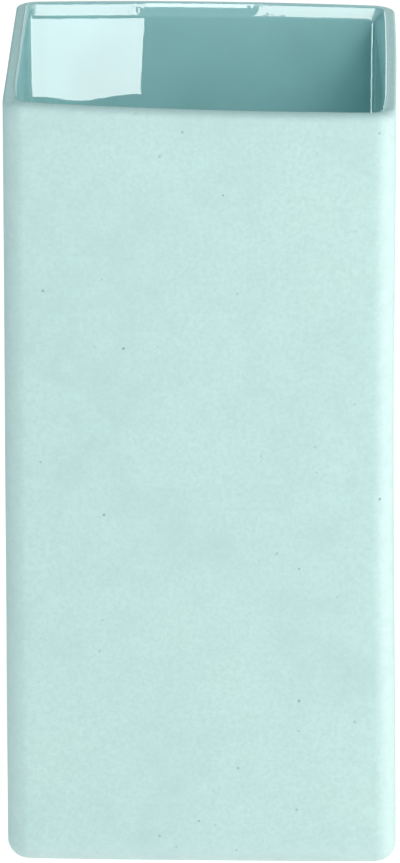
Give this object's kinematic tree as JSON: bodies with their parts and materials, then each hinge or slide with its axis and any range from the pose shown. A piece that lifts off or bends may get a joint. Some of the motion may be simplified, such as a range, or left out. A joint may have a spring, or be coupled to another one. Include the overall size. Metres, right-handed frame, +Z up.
{
  "type": "vase",
  "caption": "Tall square vase with rounded edges, matt pale aqua stoneware outside and a glossy glaze lining inside, for holding cut flowers in water.",
  "frame": {"origin": "middle of the foot, on the surface that the vase stands on", "axes": "+Z up along the vase's height, X and Y square to its walls, the face in the picture towards -Y"},
  "size_m": [0.09, 0.09, 0.1824],
  "materials": {
    "matt_stoneware": "matte",
    "gloss_glaze": "polished"
  },
  "bodies": {
    "root": {"stoneware_body": "matt_stoneware", "glaze_lining": "gloss_glaze"}
  },
  "joints": []
}
